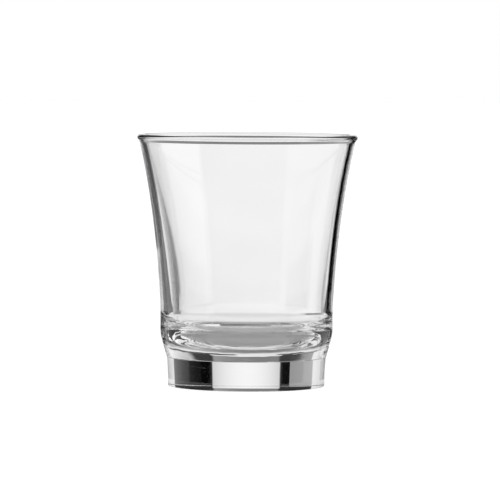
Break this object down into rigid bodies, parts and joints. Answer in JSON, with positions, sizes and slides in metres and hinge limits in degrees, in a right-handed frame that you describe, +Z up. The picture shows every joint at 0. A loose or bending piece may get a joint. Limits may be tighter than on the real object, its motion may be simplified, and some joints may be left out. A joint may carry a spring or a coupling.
{
  "type": "whiskey tumbler",
  "caption": "Heavy-footed clear glass whiskey tumbler: thick solid base disc, upright belly and a bowl that flares to a rolled lip.",
  "frame": {"origin": "centre of the foot, on the surface that the tumbler stands on", "axes": "+Z up along the axis of the glass; it is round, so X and Y are free"},
  "size_m": [0.0826, 0.0826, 0.0942],
  "materials": {
    "clear_glass": "fire-polished clear soda-lime glass"
  },
  "bodies": {
    "root": {"base": "clear_glass", "bowl": "clear_glass"}
  },
  "joints": []
}
